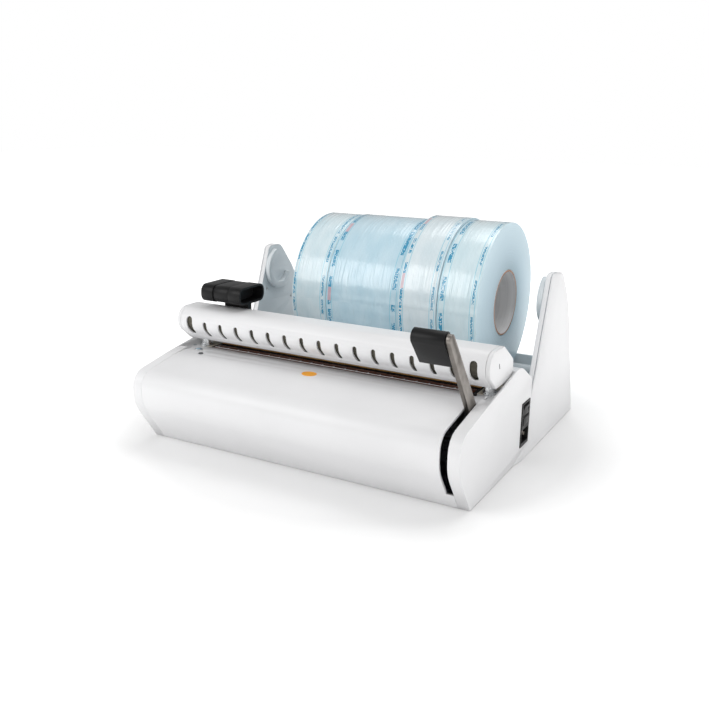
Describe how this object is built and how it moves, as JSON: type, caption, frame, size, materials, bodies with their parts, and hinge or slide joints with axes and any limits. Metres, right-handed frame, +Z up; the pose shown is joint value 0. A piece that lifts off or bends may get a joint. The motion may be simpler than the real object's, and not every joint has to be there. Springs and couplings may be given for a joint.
{
  "type": "benchtop pouch heat sealer",
  "caption": "White benchtop heat sealer with a side lever that lowers a long pressing bar, a sliding cutter and a rear stand holding loose sterilisation pouch reels",
  "frame": {"origin": "centre of the bounding box at the bench, under the feet", "axes": "+X along the sealing bar towards the lever side, +Y from the rounded front to the reel stand, +Z up"},
  "size_m": [0.413, 0.3916, 0.2557],
  "materials": {
    "white_abs": "satin moulded",
    "grey_white_abs": "fine moulded grain",
    "black_abs": "satin moulded",
    "anodised_aluminium": "dark anodised",
    "zinc_plated_steel": "zinc plated",
    "brushed_stainless": "brushed",
    "rubber": "matt",
    "silicone": "matt",
    "bronze": "rolled strip",
    "ptfe_cloth": "coated glass cloth",
    "phenolic": "machined",
    "cream_polyamide": "moulded",
    "circuit_board": "solder mask",
    "cardboard": "wound",
    "pouch_film": "clear laminated film over paper",
    "lens": "clear tinted"
  },
  "bodies": {
    "machine": {"front_cover": "white_abs", "left_cheek": "white_abs", "right_cheek": "white_abs", "rear_cover": "white_abs", "chassis": "zinc_plated_steel", "foot_front_left": "rubber", "foot_front_right": "rubber", "foot_rear_left": "rubber", "foot_rear_right": "rubber", "jaw_insulator": "phenolic", "ptfe_cloth": "ptfe_cloth", "heating_band": "bronze", "jaw_carrier": "zinc_plated_steel", "film_comb": "white_abs", "left_ledge_plate": "cream_polyamide", "right_ledge_plate": "cream_polyamide", "left_guide_bush": "zinc_plated_steel", "right_guide_bush": "zinc_plated_steel", "lamp_power": "lens", "lamp_ready": "lens", "inlet_housing": "black_abs", "inlet_pins": "brushed_stainless", "transformer": "zinc_plated_steel", "control_board": "circuit_board", "left_support_inner": "grey_white_abs", "right_support_inner": "grey_white_abs", "left_support_outer": "white_abs", "right_support_outer": "white_abs", "left_cradle_cup": "grey_white_abs", "right_cradle_cup": "grey_white_abs", "stand_tray": "white_abs", "stand_back_panel": "grey_white_abs"},
    "lever": {"lever_arm": "brushed_stainless", "lever_grip": "black_abs", "lever_shaft": "zinc_plated_steel"},
    "bar": {"bar_front_cover": "white_abs", "bar_rear_cover": "white_abs", "press_beam": "anodised_aluminium", "clamp_pad": "silicone", "seal_pad": "silicone", "left_bar_cap": "white_abs", "right_bar_cap": "white_abs", "left_guide_post": "zinc_plated_steel", "right_guide_post": "zinc_plated_steel"},
    "cutter": {"cutter_knob": "black_abs", "cutter_carriage": "black_abs", "cutter_blade": "brushed_stainless"},
    "reel_a": {"reel_a_core": "cardboard", "reel_a_film": "pouch_film"},
    "reel_b": {"reel_b_core": "cardboard", "reel_b_film": "pouch_film"},
    "reel_c": {"reel_c_core": "cardboard", "reel_c_film": "pouch_film"},
    "reel_d": {"reel_d_core": "cardboard", "reel_d_film": "pouch_film"},
    "front_roller": {"front_roller": "grey_white_abs"},
    "rear_roller": {"rear_roller": "grey_white_abs"},
    "rocker": {"mains_rocker": "black_abs"},
    "fuse_drawer": {"fuse_drawer": "black_abs"}
  },
  "joints": [
    {"name": "lever_swing", "type": "hinge", "parent": "machine", "child": "lever", "pos_m": [0, -0.09322, 0.05], "axis": [1, 0, 0], "range_deg": [0, 64], "stiffness_Nm_per_rad": 1.2, "springref_deg": -34.38},
    {"name": "bar_press", "type": "slide", "parent": "machine", "child": "bar", "axis": [0, 0, -1], "range_m": [0, 0.0087]},
    {"name": "cutter_slide", "type": "slide", "parent": "bar", "child": "cutter", "axis": [1, 0, 0], "range_m": [0, 0.293]},
    {"name": "reel_a_spin", "type": "hinge", "parent": "machine", "child": "reel_a", "pos_m": [0, 0.09728, 0.15396], "axis": [1, 0, 0], "continuous": true},
    {"name": "reel_b_spin", "type": "hinge", "parent": "machine", "child": "reel_b", "pos_m": [0, 0.09728, 0.15451], "axis": [1, 0, 0], "continuous": true},
    {"name": "reel_c_spin", "type": "hinge", "parent": "machine", "child": "reel_c", "pos_m": [0, 0.09728, 0.15725], "axis": [1, 0, 0], "continuous": true},
    {"name": "reel_d_spin", "type": "hinge", "parent": "machine", "child": "reel_d", "pos_m": [0, 0.09728, 0.15615], "axis": [1, 0, 0], "continuous": true},
    {"name": "front_roller_spin", "type": "hinge", "parent": "machine", "child": "front_roller", "pos_m": [0, 0.05228, 0.056], "axis": [1, 0, 0], "continuous": true},
    {"name": "rear_roller_spin", "type": "hinge", "parent": "machine", "child": "rear_roller", "pos_m": [0, 0.14228, 0.056], "axis": [1, 0, 0], "continuous": true},
    {"name": "rocker_tilt", "type": "hinge", "parent": "machine", "child": "rocker", "pos_m": [0.201, 0.00348, 0.0583], "axis": [0, 1, 0], "range_deg": [-14, 0]},
    {"name": "fuse_drawer_pull", "type": "slide", "parent": "machine", "child": "fuse_drawer", "axis": [1, 0, 0], "range_m": [0, 0.018]}
  ],
  "couplings": [
    {"joint": "bar_press", "follows": "lever_swing", "m_per_rad": 0.00778},
    {"joint": "rear_roller_spin", "follows": "front_roller_spin", "ratio": 1}
  ]
}
